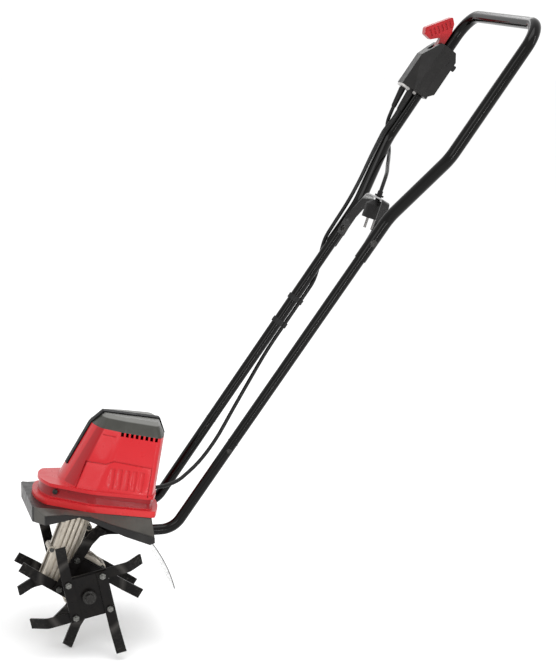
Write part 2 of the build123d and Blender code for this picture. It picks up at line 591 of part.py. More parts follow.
def upper_handle():
    """One bent tube; each end is cut to a half shell that wraps the outside of a mid tube."""
    route = handle_points(-1) + handle_points(1)[::-1]
    frame = swept(route, [55, 55, 48, 48, 55, 55], HIGH_R, HIGH_R - TUBE_WALL)
    x, z = HANDLE_BOLT
    for side in (-1, 1):
        y_cut, seat = side * (Y_LOW_BEND - 3), side * (Y_BOLT + HIGH_R - 0.5)
        frame -= box_between((440, min(0, y_cut), 540), (560, max(0, y_cut), 618))
        frame -= handle_bolt_hole(side)
        frame -= rod((x, seat, z), (x, seat + side * 9, z), 6.6)
    return frame


BRACKET_RISE, BRACKET_BAND, BRACKET_W, BRACKET_T = 76.0, 50.0, 16.0, 2.5
BRACKET_LEAN = (0.53, 0.848)           # x and z of its legs' direction


def bracket_frame():
    """The cable bracket's plane: X across the machine, Y steeply up, Z to the front."""
    facing = (-BRACKET_LEAN[1], 0, BRACKET_LEAN[0])
    return Plane(origin=(HANDLE_BOLT[0], 0, HANDLE_BOLT[1]), x_dir=(0, -1, 0), z_dir=facing)


def cable_bracket():
    """Arched strap between the two handle bolts, slotted from behind for the plug's neck."""
    leg = Y_BOLT - LOW_R - 1.35
    line = [(-leg, -12), (-leg, 22), (-BRACKET_BAND, BRACKET_RISE), (BRACKET_BAND, BRACKET_RISE),
            (leg, 22), (leg, -12)]
    strip = trace(FilletPolyline(*line, radius=[25, 20, 20, 25]), line_width=BRACKET_T)
    strap = extrude(bracket_frame() * strip, amount=BRACKET_W / 2, both=True)
    strap -= handle_bolt_hole(-1) + handle_bolt_hole(1)
    strap -= bracket_frame() * box_between((-5.3, BRACKET_RISE - 6, -12), (5.3, BRACKET_RISE + 6, 0))
    return strap - plug_rod(-20, 30, 5.3)


def handle_bolts():
    pieces = []
    x, z = HANDLE_BOLT
    for side in (-1, 1):
        outer = side * (Y_BOLT + HIGH_R - 0.5)
        inner = side * (Y_BOLT - LOW_R - 1.35 - BRACKET_T / 2)
        pieces.append(rod((x, outer, z), (x, inner - side * 9, z), 3.0)
                      + rod((x, outer, z), (x, outer + side * 3.5, z), 6.5))
        pieces.append(hexagon((x, inner, z), (x, inner - side * 5, z), 10)
                      - rod((x, inner, z), (x, inner - side * 5, z), 3.0))
    return group(pieces)


# ---------------------------------------------------------------- switch box
def leg_frame():
    """On the far upper leg: Z along the tube, X forward of it, Y across."""
    dx, dz = GRIP[0] - HIGH_BEND[0], GRIP[1] - HIGH_BEND[1]
    dy = Y_GRIP - Y_HIGH_BEND
    along = Vector(dx, dy, dz).normalized()
    forward = Vector(-along.Z, 0, along.X).normalized()
    return Plane(origin=(HIGH_BEND[0], Y_HIGH_BEND, HIGH_BEND[1]), x_dir=forward, z_dir=along)


BOX_LOW, BOX_HIGH = 98.0, 200.0        # along the tube from its upper bend
BOX_FRONT, BOX_BACK, BOX_HALF, BOX_WALL = 40.0, -23.0, 27.0, 2.4
LEVER_PIVOT = (19.0, 193.0)            # forward of the tube, along the tube
LEVER_HALF, LEVER_TRAVEL = 9.0, 8.0    # half width, degrees of squeeze
LEVER_SIGN = -1                        # a squeeze turns the lever this way about the leg frame's Y
BUTTON_AT = (9.0, 176.0)               # across, along
POSTS = ((34.0, 106.0), (34.0, 157.0), (-16.3, 118.0))
RELIEFS = ((31.0, -3.0, 24.0), (18.5, 12.0, 16.5))    # forward, across, forward at the tip


def across_leg(x, z, radius, length, y=0.0):
    """A round piece that lies across the leg, in the leg's frame."""
    return Pos(x, y, z) * Rot(90, 0, 0) * Cylinder(radius, length)


def box_block(inset):
    """The switch box: its side outline crossed with its plan, whose near half has broad facets."""
    front, back, half = BOX_FRONT - inset, BOX_BACK + inset, BOX_HALF - inset
    low, high = BOX_LOW + inset, BOX_HIGH - inset
    ring = [(front, -17), (28, -half), (-12, -half), (back, -18), (back, 18), (-4, half), (17, half),
            (front, 12)]
    side = [(front, low), (front, high - 37), (22, high), (-11, high), (back, high - 14),
            (back, low + 16), (-13, low + 6), (-13, low)]
    return prism(make_face(Polyline(*ring, close=True)), low - 1, high + 1) & slab(side, -40, 40)


def relief_seat(x, y, tip):
    """Plane at the inner end of a cord relief, its Z down the relief's axis."""
    return Plane(origin=(x, y, BOX_LOW + 4), x_dir=(0, 1, 0), z_dir=(tip - x, 0, -48))


def relief_rod(place, start, end, radius):
    return extrude(relief_seat(*place) * Pos(0, 0, start) * Circle(radius), amount=end - start)


def box_shell():
    tube = Pos(0, 0, 150) * Cylinder(HIGH_R + 0.05, 200)
    collars = Pos(0, 0, 102) * Cylinder(14.5, 8) + Pos(0, 0, 195) * Cylinder(14.5, 9)
    shell = box_block(0) - box_block(BOX_WALL) + (collars & box_block(0.5))
    shell += [across_leg(x, z, 3.2, 60) & box_block(0.5) for x, z in POSTS]
    shell += across_leg(*LEVER_PIVOT, 4.5, 60) & box_block(0.5)
    shell -= tube + box_between((12, -9.4, 180), (48, 9.4, 212))
    shell -= Pos(-24, *BUTTON_AT) * Rot(0, 90, 0) * Cylinder(6.1, 14)
    shell -= across_leg(*LEVER_PIVOT, 2.0, 44)
    shell -= [across_leg(x, z, 1.5, 29, y=-2.5) for x, z in POSTS]
    shell -= [across_leg(x, z, 3.0, 12, y=-23) for x, z in POSTS]
    return shell - [relief_rod(place, -6, 20, 5.1) for place in RELIEFS]


def switch_parts():
    shell = box_shell()
    near = shell & box_between((-60, 0, 60), (80, 60, 240))
    near += box_between((-10.3, 8.2, 170), (-8.3, 25, 182))
    far = shell & box_between((-60, -60, 60), (80, 0, 240))
    screws = [across_leg(x, z, 1.5, 29, y=-2.5) + across_leg(x, z, 2.9, 2.4, y=-18.2) for x, z in POSTS]
    plate = Pos(23, 0, 0) * prism(RectangleRounded(34, 30, 5), BOX_LOW - 4, BOX_LOW)
    plate -= Pos(0, 0, BOX_LOW) * Cylinder(HIGH_R + 0.05, 20)
    plate -= [relief_rod(place, -6, 20, 5.1) for place in RELIEFS]
    reliefs = []
    for place in RELIEFS:
        seat = relief_seat(*place)
        cone = loft([seat * Pos(0, 0, 9.4) * Circle(6.2), seat * Pos(0, 0, 48) * Circle(4.6)], ruled=True)
        reliefs.append(cone + relief_rod(place, 0, 10, 5) - relief_rod(place, -1, 60, CORD_R + 0.05))
    module = box_between((24.5, -9, 130), (30.5, 9, 176)) + box_between((16, -12, 114), (29.5, 12, 150))
    module += Pos(23.6, 0, 165) * Rot(0, 90, 0) * Cylinder(1.8, 2.4)
    button = Pos(-24, *BUTTON_AT) * Rot(0, 90, 0) * Cylinder(6, 12)
    button += Pos(-18.9, *BUTTON_AT) * Rot(0, 90, 0) * Cylinder(7.2, 2.4)
    button_spring = Pos(-14.1, *BUTTON_AT) * Rot(0, 90, 0) * (Cylinder(3.2, 7) - Cylinder(2.2, 10))
    lever_spring = Pos(21.55, 0, 171) * Rot(0, 90, 0) * (Cylinder(3, 5.5) - Cylinder(2.1, 8))
    pieces = {
        "switch_box_near": near, "switch_box_far": far, "switch_box_screws": group(screws),
        "gland_plate": plate, "cord_reliefs": group(reliefs), "switch_module": module,
        "lever_pin": across_leg(*LEVER_PIVOT, 2.0, 44), "switch_lever": switch_lever(),
        "lock_off_button": button, "button_spring": button_spring, "lever_spring": lever_spring,
    }
    placed = {name: leg_frame() * solid for name, solid in pieces.items()}
    placed["switch_lever"] -= squeezed_tube()
    return placed


def switch_lever():
    """Ribbed squeeze lever: a finger paddle outside, a short tail inside the box."""
    outline = [(13.3, 166), (18.5, 166), (18.5, 181), (24.4, 188), (24.4, 211), (41, 194.6),
               (55.4, 196), (61.6, 207.5), (28.8, 253), (19, 244), (13.3, 228)]
    seat = Plane(origin=(0, 0, 0), x_dir=(1, 0, 0), z_dir=(0, -1, 0))
    face = fillet(make_face(Polyline(*outline, close=True)).vertices().filter_by(lambda v: v.X > 50), 5.5)
    face = fillet(face.vertices().filter_by(lambda v: v.X < 45 and v.Y > 210), 2.5)
    paddle = extrude(seat * face, amount=LEVER_HALF, both=True)
    for k in range(6):
        x, z = 29.5 + 4.4 * k, 244.0 - 6.6 * k
        groove = slab([(x, z), (x + 2, z - 3), (x - 8, z - 11), (x - 10, z - 8)], -12, 12)
        paddle -= groove - slab([(x - 30, z - 50), (x + 30, z - 50), (x + 30, z + 30), (x - 30, z + 30)],
                                -LEVER_HALF + 2, LEVER_HALF - 2)
    return paddle - across_leg(*LEVER_PIVOT, 2.05, 60)


def squeezed_tube():
    """The handle's tube as it stands to the lever when the lever is fully squeezed."""
    near, far = handle_points(-1), handle_points(1)
    tube = swept([far[2], far[3], near[3]], [48], HIGH_R + 0.4)
    leg = leg_frame()
    pivot = leg.from_local_coords((LEVER_PIVOT[0], 0, LEVER_PIVOT[1]))
    return tube.rotate(Axis(pivot, leg.y_dir), -LEVER_SIGN * LEVER_TRAVEL)


# ---------------------------------------------------------------- plug
PLUG_TOP, PLUG_AXIS = (552.3, 0.0, 661.3), (-0.33, 0.0, -0.944)
PIN_R, PIN_LENGTH, PLUG_FACE = 2.4, 19.0, 38.0


def plug_rod(start, end, radius):
    """A round piece on the plug's axis; distances run from the bracket's band downwards."""
    seat = Plane(origin=PLUG_TOP, x_dir=(0.4, 0.9165, 0), z_dir=PLUG_AXIS)
    return extrude(seat * Pos(0, 0, start) * Circle(radius), amount=end - start)


def plug_parts():
    seat = Plane(origin=PLUG_TOP, x_dir=(0.42, -0.9, -0.147), z_dir=PLUG_AXIS)
    body = loft([seat * Pos(0, 0, 3.8) * Circle(9), seat * Pos(0, 0, 13) * Circle(18)], ruled=True)
    body += plug_rod(12.9, PLUG_FACE - 0.1, 18.5) + plug_rod(-14, 4, 4.8) + plug_rod(-7, -3.6, 8)
    body -= plug_rod(-15, -4.9, CORD_R + 0.02)
    pins = []
    for x in (-9.5, 9.5):
        root = extrude(seat * Pos(x, 0, PLUG_FACE - 6) * Circle(PIN_R - 0.5), amount=6)
        pins.append(root + extrude(seat * Pos(x, 0, PLUG_FACE) * Circle(PIN_R), amount=PIN_LENGTH))
    return body - pins, group(pins)


# ---------------------------------------------------------------- cords
def print_radii(name, radii):
    print(name, "bend radii", [round(r, 1) for r in radii], "mm")


def cord_radii(points):
    """The largest arc that each corner's two runs allow."""
    radii = []
    for before, corner, after in zip(points, points[1:], points[2:]):
        a, b = Vector(*corner) - Vector(*before), Vector(*after) - Vector(*corner)
        radii.append(0.45 * min(a.length, b.length) / tan(radians(a.get_angle(b)) / 2))
    return radii


def cord(name, points):
    """A cord along its route; prints its bends, and its volume beside section times length."""
    radii = cord_radii(points)
    print_radii(name, radii)
    length = FilletPolyline(*points, radius=radii).length
    solid = swept(points, radii, CORD_R)
    print(name, "length", round(length), "volume share", round(solid.volume / (pi * CORD_R ** 2 * length), 3))
    return solid


def beside(run, z, forward, across=0.0):
    """A point beside a far-side tube run at height z, set forward of it and outward."""
    (x0, y0, z0), (x1, y1, z1) = run
    share = (z - z0) / (z1 - z0)
    slope = atan2(z1 - z0, x1 - x0)
    return (x0 + (x1 - x0) * share - forward * sin(slope),
            y0 + (y1 - y0) * share + across, z + forward * cos(slope))


def far_runs():
    """The far side's middle tube, jog and upper leg as pairs of ends."""
    joint, low = at(1, TUBE_JOINT, Y_JOINT), at(1, LOW_BEND, Y_LOW_BEND)
    high, grip = at(1, HIGH_BEND, Y_HIGH_BEND), at(1, GRIP, Y_GRIP)
    return (joint, low), (low, high), (high, grip)


def relief_point(place, reach):
    x, y, tip = place
    seat = relief_seat(x, y, tip)
    return tuple(leg_frame().from_local_coords(tuple(seat.from_local_coords((0, 0, reach)))))


def motor_cable_route():
    """From the switch box down the far tubes and in at the back of the hood."""
    mid, jog, leg = far_runs()
    wrap = [(594, 0, 16.8), (569, 45, 16.8), (546, 90, 15.6), (525, 135, 15.2), (506, 172, 14.6)]
    turns = [beside(mid, z, r * cos(radians(a)), r * sin(radians(a))) for z, a, r in wrap]
    return [relief_point(RELIEFS[1], -6), relief_point(RELIEFS[1], 72), beside(leg, 756, 16.5, -7),
            beside(jog, 715, 16.5, -3), beside(jog, 670, 16, 0), beside(mid, 632, 17, 3), *turns,
            beside(mid, 488, -14), beside(mid, 382, -14),
            (333, 97, 312), (302, 90, 264), (270, 79, 215), (233, 63, 176), (190, 44, 149),
            (158, *GLAND), (98, *GLAND)]


LEAD_BOW = (                           # free part of the power lead, round the far leg to the plug
    (625.8, 198, 773.3), (631, 203, 748), (629.5, 190, 728), (621, 165, 717.3), (608.5, 125, 716),
    (594.5, 84, 711), (582.5, 46, 704.5), (570.8, 14, 700.5),
)


def power_lead_route():
    x, _, z = PLUG_TOP
    ends = [(x - PLUG_AXIS[0] * reach, 0, z - PLUG_AXIS[2] * reach) for reach in (24, 5)]
    return [relief_point(RELIEFS[0], 28), relief_point(RELIEFS[0], 60), *LEAD_BOW, *ends]


def cable_clips():
    """Snap clips that hold the motor's cable behind the far middle tube."""
    mid = far_runs()[0]
    clips = []
    for z in (470, 428):
        tube = beside(mid, z - 4, 0), beside(mid, z + 4, 0)
        cable = beside(mid, z - 4, -14), beside(mid, z + 4, -14)
        clips.append(rod(*tube, LOW_R + 2) + rod(*cable, CORD_R + 1.8)
                     - rod(*tube, LOW_R) - rod(*cable, CORD_R + 0.05))
    return group(clips)


def grommet():
    y, z = GLAND
    body = rod((119, y, z), (139, y, z), 6.8) + rod((133.4, y, z), (135.6, y, z), 8.5)
    return body - rod((110, y, z), (150, y, z), CORD_R)


# ---------------------------------------------------------------- the whole machine
def main():
    parts = {**tine_parts(), **drive_parts(), **motor_parts()}
    parts["motor_hood"], parts["top_cover"], parts["front_spine"] = hood_parts()
    parts["tine_guard"], clamp = guard_parts()
    parts["tube_clamps"], parts["rear_flap"] = both_sides(clamp), rear_flap()
    tubes, joint_screws = tube_parts()
    parts.update(tubes)
    parts["body_screws"] = group(body_screws() + joint_screws)
    parts["upper_handle"], parts["cable_bracket"] = upper_handle(), cable_bracket()
    parts["handle_bolts"] = handle_bolts()
    parts.update(switch_parts())
    parts["plug_body"], parts["plug_pins"] = plug_parts()
    parts["motor_cable"] = cord("motor_cable", motor_cable_route())
    parts["power_lead"] = cord("power_lead", power_lead_route())
    parts["cable_clips"], parts["cable_grommet"] = cable_clips(), grommet()
    return parts


CORD_PIECES = ("power_lead", "plug_body", "plug_pins")


def floor_shift(parts):
    """Moves the origin to the middle of the machine's footprint, on the ground."""
    boxes = [solid.bounding_box() for name, solid in parts.items() if name not in CORD_PIECES]
    low = [min(getattr(box.min, axis) for box in boxes) for axis in "XYZ"]
    high = [max(getattr(box.max, axis) for box in boxes) for axis in "XYZ"]
    return Pos(-(low[0] + high[0]) / 2, -(low[1] + high[1]) / 2, -low[2])


if __name__ == "__main__":
    os.makedirs("parts", exist_ok=True)
    machine = main()
    shift = floor_shift(machine)
    print("origin moved by", [round(v, 3) for v in shift.position])
    for name, solid in machine.items():
        export_step(shift * solid, f"parts/{name}.step")
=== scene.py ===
"""Looks of the corded garden tiller: finishes, the free power lead, soft studio and camera."""
from math import cos, pi, radians, sin

import bpy
from mathutils import Matrix, Vector


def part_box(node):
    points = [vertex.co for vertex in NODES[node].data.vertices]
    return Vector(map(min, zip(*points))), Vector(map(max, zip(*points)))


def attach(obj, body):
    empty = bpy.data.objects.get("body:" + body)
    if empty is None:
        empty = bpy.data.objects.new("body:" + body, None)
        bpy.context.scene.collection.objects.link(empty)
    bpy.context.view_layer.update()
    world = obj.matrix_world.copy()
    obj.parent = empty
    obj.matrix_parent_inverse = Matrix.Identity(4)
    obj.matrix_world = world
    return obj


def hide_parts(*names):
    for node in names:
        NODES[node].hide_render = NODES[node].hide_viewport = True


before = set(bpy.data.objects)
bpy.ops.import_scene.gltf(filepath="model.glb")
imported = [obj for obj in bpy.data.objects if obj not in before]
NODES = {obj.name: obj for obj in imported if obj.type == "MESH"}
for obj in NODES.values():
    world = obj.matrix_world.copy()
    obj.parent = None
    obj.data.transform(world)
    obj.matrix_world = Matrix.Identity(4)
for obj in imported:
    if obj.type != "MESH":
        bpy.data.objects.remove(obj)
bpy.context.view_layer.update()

# ---------------------------------------------------------------- places taken from the frame
shaft_low, shaft_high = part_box("tine_shaft")
AXLE = (shaft_low + shaft_high) / 2
BASE_TILT, HOOD_TILT = radians(9.0), radians(10.5)
BASE_UP = Vector((sin(BASE_TILT), 0, cos(BASE_TILT)))
HOOD_UP = Vector((sin(HOOD_TILT), 0, cos(HOOD_TILT)))
HOOD_BACK = Vector((cos(HOOD_TILT), 0, -sin(HOOD_TILT)))
FRONT_SLOPE = 0.3504                   # how far the hood's front runs back for each step up
FLANGE, BAND = (0.1300, 0.1510), (0.1535, 0.1700)      # heights above the axle, along BASE_UP
TOWER, CROWN_EDGE = (0.178, 0.290), (0.2975, 0.3035)   # heights above the axle, along HOOD_UP
RIB_PITCH = 0.0086
ACROSS = (0, 1, 0)                     # keeps only the distance from the machine's middle plane

# ---------------------------------------------------------------- the power lead, metres
LEAD_RADIUS = 0.0035
LEAD_ROUTE = (
    (0.3031, 0.1793, 0.9373), (0.2886, 0.1790, 0.9088), (0.2839, 0.1902, 0.8845), (0.2891, 0.1952, 0.8592),
    (0.2876, 0.1822, 0.8392), (0.2791, 0.1572, 0.8285), (0.2666, 0.1172, 0.8272), (0.2526, 0.0762, 0.8222),
    (0.2406, 0.0382, 0.8157), (0.2289, 0.0062, 0.8117), (0.2183, -0.0078, 0.7951), (0.2120, -0.0078, 0.7772),
)


# ---------------------------------------------------------------- shader helpers
class Finish:
    """A principled material with a few procedural layers, in the object's own coordinates."""

    def __init__(self, name, color, roughness, metallic=0.0, coat=0.0, specular=0.5):
        self.material = bpy.data.materials.new(name)
        self.material.use_nodes = True
        self.tree = self.material.node_tree
        self.shader = self.tree.nodes["Principled BSDF"]
        self.place = self.tree.nodes.new("ShaderNodeTexCoord").outputs["Object"]
        self.color, self.laid = (*color, 1.0), None
        self.set("Base Color", (*color, 1.0))
        self.set("Roughness", roughness)
        self.set("Metallic", metallic)
        self.set("Coat Weight", coat)
        self.set("Coat Roughness", 0.08)
        self.set("Specular IOR Level", specular)

    def set(self, socket, value):
        self.shader.inputs[socket].default_value = value

    def noise(self, scale, detail=3.0, stretch=None):
        node = self.tree.nodes.new("ShaderNodeTexNoise")
        node.inputs["Scale"].default_value = scale
        node.inputs["Detail"].default_value = detail
        source = self.place
        if stretch:
            mapping = self.tree.nodes.new("ShaderNodeMapping")
            mapping.inputs["Scale"].default_value = stretch
            self.tree.links.new(source, mapping.inputs["Vector"])
            source = mapping.outputs["Vector"]
        self.tree.links.new(source, node.inputs["Vector"])
        return node.outputs["Fac"]

    def ramp(self, source, low, high, to_low=0.0, to_high=1.0):
        node = self.tree.nodes.new("ShaderNodeMapRange")
        for socket, value in (("From Min", low), ("From Max", high), ("To Min", to_low), ("To Max", to_high)):
            node.inputs[socket].default_value = value
        self.tree.links.new(source, node.inputs["Value"])
        return node.outputs["Result"]

    def vector(self, operation, source, other=None):
        """One vector step; its result is the node itself, whose outputs are Vector and Value."""
        node = self.tree.nodes.new("ShaderNodeVectorMath")
        node.operation = operation
        self.tree.links.new(source, node.inputs[0])
        if other is not None:
            node.inputs[1].default_value = other
        return node

    def seen_from(self, origin):
        return self.vector("SUBTRACT", self.place, origin).outputs["Vector"]

    def along(self, direction, origin=(0, 0, 0)):
        """Distance of the surface point along a direction from an origin."""
        return self.vector("DOT_PRODUCT", self.seen_from(origin), direction).outputs["Value"]

    def radius_from(self, origin, keep=(1, 0, 1)):
        """Distance from an origin, counted in the kept directions only."""
        flat = self.vector("MULTIPLY", self.seen_from(origin), keep).outputs["Vector"]
        return self.vector("LENGTH", flat).outputs["Value"]

    def bands(self, origin, pitch):
        """0 on the ribs and 1 between them, for ribs that repeat along Y from origin."""
        wave = self.tree.nodes.new("ShaderNodeTexWave")
        wave.wave_type, wave.bands_direction, wave.wave_profile = "BANDS", "Y", "SIN"
        wave.inputs["Scale"].default_value = 2 * pi / 20 / pitch      # its phase is 20 * scale * distance
        wave.inputs["Distortion"].default_value = 0.0
        self.tree.links.new(self.seen_from(origin), wave.inputs["Vector"])
        return wave.outputs["Fac"]

    def between(self, source, low, high, soft=0.0008):
        """1 where the source lies between low and high."""
        return self.math("MULTIPLY", self.ramp(source, low - soft, low + soft),
                         self.ramp(source, high + soft, high - soft))

    def math(self, operation, a, b):
        node = self.tree.nodes.new("ShaderNodeMath")
        node.operation = operation
        node.use_clamp = True
        for socket, value in zip(node.inputs, (a, b)):
            if isinstance(value, (int, float)):
                socket.default_value = value
            else:
                self.tree.links.new(value, socket)
        return node.outputs["Value"]

    def tint(self, mask, color, amount=1.0):
        """Lays a second colour over what is there, where the mask is 1."""
        node = self.tree.nodes.new("ShaderNodeMix")
        node.data_type = "RGBA"
        self.tree.links.new(self.math("MULTIPLY", mask, amount), node.inputs["Factor"])
        over, under = ([slot for slot in node.inputs if slot.identifier == name][0]
                       for name in ("B_Color", "A_Color"))
        over.default_value = (*color, 1.0)
        if self.laid:
            self.tree.links.new(self.laid, under)
        else:
            under.default_value = self.color
        self.laid = [slot for slot in node.outputs if slot.identifier == "Result_Color"][0]
        self.tree.links.new(self.laid, self.shader.inputs["Base Color"])
        return self

    def vary_roughness(self, source, low, high):
        self.tree.links.new(self.ramp(source, 0.3, 0.7, low, high), self.shader.inputs["Roughness"])
        return self

    def blend_value(self, socket, mask, off, on):
        self.tree.links.new(self.ramp(mask, 0.0, 1.0, off, on), self.shader.inputs[socket])
        return self

    def bump(self, source, height, strength=1.0):
        node = self.tree.nodes.new("ShaderNodeBump")
        node.inputs["Distance"].default_value = height
        node.inputs["Strength"].default_value = strength
        self.tree.links.new(source, node.inputs["Height"])
        if self.shader.inputs["Normal"].links:
            self.tree.links.new(self.shader.inputs["Normal"].links[0].from_socket, node.inputs["Normal"])
        self.tree.links.new(node.outputs["Normal"], self.shader.inputs["Normal"])
        return self


# ---------------------------------------------------------------- finishes
def tine_paint():
    """Black paint with a painted highlight at the bends, and paler patches along the blades' outer ends that
    are partly rubbed wear and partly painted highlight.
    """
    f = Finish("tine_paint", (0.0035, 0.003, 0.003), 0.36, specular=0.12)
    reach = f.ramp(f.radius_from(AXLE), 0.078, 0.118)
    wear_and_highlight_patches = f.ramp(f.noise(210, 6, (1, 1.6, 1)), 0.52, 0.70)
    f.tint(f.ramp(f.noise(60, 4), 0.4, 0.75), (0.007, 0.006, 0.005), 0.8)
    # paler patches along the outer ends: partly rubbed wear, partly painted highlight
    f.tint(f.math("MULTIPLY", reach, wear_and_highlight_patches), (0.055, 0.050, 0.044), 0.7)
    # painted highlight in a ring at the bends of the blades
    f.tint(f.math("MULTIPLY", f.between(f.radius_from(AXLE), 0.070, 0.078, 0.004), 0.5), (0.07, 0.065, 0.06))
    f.vary_roughness(f.noise(90, 5), 0.26, 0.46)
    return f.bump(f.noise(420, 4), 0.0002, 0.5).bump(f.noise(60, 3), 0.0006, 0.25)


def zinc():
    f = Finish("zinc_plate", (0.17, 0.17, 0.16), 0.3, metallic=1.0)
    f.tint(f.ramp(f.noise(300, 4), 0.40, 0.7), (0.05, 0.05, 0.048), 0.9)
    return f.vary_roughness(f.noise(500, 3), 0.22, 0.42).bump(f.noise(900, 2), 0.00006, 0.5)


def black_screw():
    f = Finish("black_screw", (0.012, 0.011, 0.010), 0.34, metallic=0.6)
    f.tint(f.ramp(f.noise(300, 4), 0.5, 0.8), (0.06, 0.06, 0.058), 0.7)
    return f.vary_roughness(f.noise(500, 3), 0.25, 0.45).bump(f.noise(900, 2), 0.00006, 0.5)


def ground_steel():
    f = Finish("ground_steel", (0.50, 0.50, 0.51), 0.25, metallic=1.0)
    return f.vary_roughness(f.noise(700, 2, (1, 0.1, 1)), 0.18, 0.38)


def cast_aluminium():
    """Raw die casting: fine grain, flow marks and dull patches, slightly warm, with painted shade between the
    ribs.
    """
    f = Finish("cast_aluminium", (0.53, 0.475, 0.40), 0.42, metallic=0.6)
    f.tint(f.ramp(f.noise(45, 5), 0.42, 0.75), (0.26, 0.22, 0.18), 0.6)
    f.tint(f.ramp(f.noise(14, 2), 0.45, 0.7), (0.62, 0.58, 0.51), 0.4)
    # painted shade in the grooves between the ribs of the neck
    ribbed = f.ramp(f.radius_from(AXLE, ACROSS), 0.0202, 0.0190)
    groove_shade = f.math("MULTIPLY", ribbed, f.ramp(f.bands(AXLE, RIB_PITCH), 0.62, 0.90))
    f.tint(groove_shade, (0.07, 0.058, 0.045), 0.85)
    f.vary_roughness(f.noise(120, 4), 0.30, 0.52)
    return f.bump(f.noise(1100, 3), 0.00012, 0.6).bump(f.noise(120, 3), 0.0004, 0.25)


def bronze():
    f = Finish("bronze", (0.58, 0.38, 0.17), 0.32, metallic=1.0)
    return f.vary_roughness(f.noise(500, 3), 0.25, 0.45)


def copper():
    f = Finish("enamelled_copper", (0.62, 0.25, 0.10), 0.35, metallic=0.8, coat=0.4)
    return f.bump(f.noise(1400, 2, (1, 1, 6)), 0.0004, 0.8)


def laminations():
    f = Finish("laminations", (0.16, 0.16, 0.17), 0.5, metallic=0.7)
    return f.bump(f.noise(1500, 2, (0.2, 0.2, 3)), 0.0003, 0.8)


def graphite():
    f = Finish("graphite", (0.05, 0.05, 0.05), 0.6)
    return f.bump(f.noise(900, 2), 0.0001, 0.4)


def tube_black():
    """Gloss black powder coat with slight orange peel and dust."""
    f = Finish("tube_black", (0.0016, 0.0014, 0.0013), 0.15, specular=0.16)
    f.tint(f.ramp(f.noise(35, 5), 0.55, 0.8), (0.005, 0.0045, 0.004), 0.6)
    f.vary_roughness(f.noise(60, 4), 0.11, 0.18)
    return f.bump(f.noise(350, 2), 0.00003, 0.15)


def strap():
    """Black coated steel strap, with a painted reflection along the top of its arch, where it is also made
    partly metallic.
    """
    f = Finish("strap", (0.005, 0.0045, 0.0045), 0.30, specular=0.3)
    low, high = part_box("cable_bracket")
    across = f.along((0, 1, 0), (0, (low.y + high.y) / 2, 0))
    top = f.ramp(f.along((0, 0, 1)), high.z - 0.0135, high.z - 0.0105)
    # painted reflection: a pale streaked band along the top of the arch
    reflection_band = f.math("MULTIPLY", top, f.math("MULTIPLY", f.ramp(across, -0.047, -0.045),
                                          f.ramp(across, 0.058, 0.052)))
    f.tint(reflection_band, (0.36, 0.36, 0.355), 0.95)
    reflection_streaks = f.ramp(f.noise(260, 4, (1, 0.15, 1)), 0.45, 0.7)
    f.tint(f.math("MULTIPLY", reflection_band, reflection_streaks), (0.20, 0.20, 0.20), 0.7)
    f.blend_value("Metallic", reflection_band, 0.0, 0.7)
    return f.bump(f.noise(700, 3, (1, 0.1, 1)), 0.0001, 0.4)


def hood_red():
    """Glossy moulded red: painted shade on the front corner facets and in the band, a painted highlight on
    the flange, faint moulding waves and a fine grain.
    """
    f = Finish("hood_red", (0.44, 0.011, 0.016), 0.30, coat=0.05, specular=0.2)
    f.tint(f.ramp(f.noise(9, 2), 0.35, 0.7), (0.49, 0.015, 0.020), 0.6)
    f.tint(f.ramp(f.noise(240, 5), 0.62, 0.84), (0.50, 0.04, 0.04), 0.25)
    # painted shade on the tower's front corner facets
    front = f.ramp(f.along(HOOD_BACK - FRONT_SLOPE * HOOD_UP, AXLE), -0.1062, -0.1080)
    corner_shade = f.between(f.radius_from(AXLE, ACROSS), 0.034, 0.066, 0.002)
    corner_shade = f.math("MULTIPLY", corner_shade, f.between(f.along(HOOD_UP, AXLE), *TOWER))
    f.tint(f.math("MULTIPLY", corner_shade, front), (0.22, 0.003, 0.006), 0.7)
    height = f.along(BASE_UP, AXLE)
    # painted shadow in the band
    f.tint(f.between(height, *BAND), (0.17, 0.002, 0.005), 0.8)
    # painted highlight on the flange
    f.tint(f.between(height, *FLANGE), (0.56, 0.030, 0.030), 0.6)
    f.vary_roughness(f.noise(45, 4), 0.26, 0.38)
    return f.bump(f.noise(900, 2), 0.00005, 0.3).bump(f.noise(14, 1), 0.0005, 0.10)


def cover_grey():
    """Satin grey-green cover with a painted highlight along the crown edge."""
    f = Finish("cover_grey", (0.026, 0.026, 0.021), 0.34, specular=0.3)
    f.tint(f.ramp(f.noise(50, 4), 0.4, 0.75), (0.040, 0.040, 0.033), 0.6)
    # painted highlight along the rounded crown edge
    f.tint(f.between(f.along(HOOD_UP, AXLE), *CROWN_EDGE), (0.20, 0.20, 0.19), 0.7)
    f.vary_roughness(f.noise(80, 4), 0.28, 0.44)
    return f.bump(f.noise(1500, 2), 0.00010, 0.5)


def spine_black():
    f = Finish("spine_black", (0.003, 0.003, 0.0035), 0.48, specular=0.08)
    return f.vary_roughness(f.noise(90, 4), 0.40, 0.56).bump(f.noise(1500, 2), 0.0001, 0.4)


def guard_grey():
    """Satin dark moulding with a painted highlight on the shoulders."""
    f = Finish("guard_grey", (0.008, 0.0075, 0.0075), 0.36, specular=0.2)
    # painted highlight on the shoulders
    shoulder_highlight = f.between(f.radius_from(AXLE, ACROSS), 0.086, 0.1155, 0.001)
    f.tint(shoulder_highlight, (0.075, 0.071, 0.062), 0.75)
    f.tint(f.ramp(f.noise(30, 5), 0.42, 0.7), (0.020, 0.019, 0.018), 0.6)
    f.tint(f.ramp(f.noise(320, 6), 0.6, 0.8), (0.045, 0.043, 0.040), 0.35)
    f.vary_roughness(f.noise(60, 4), 0.28, 0.46)
    return f.bump(f.noise(1300, 2), 0.00014, 0.5)


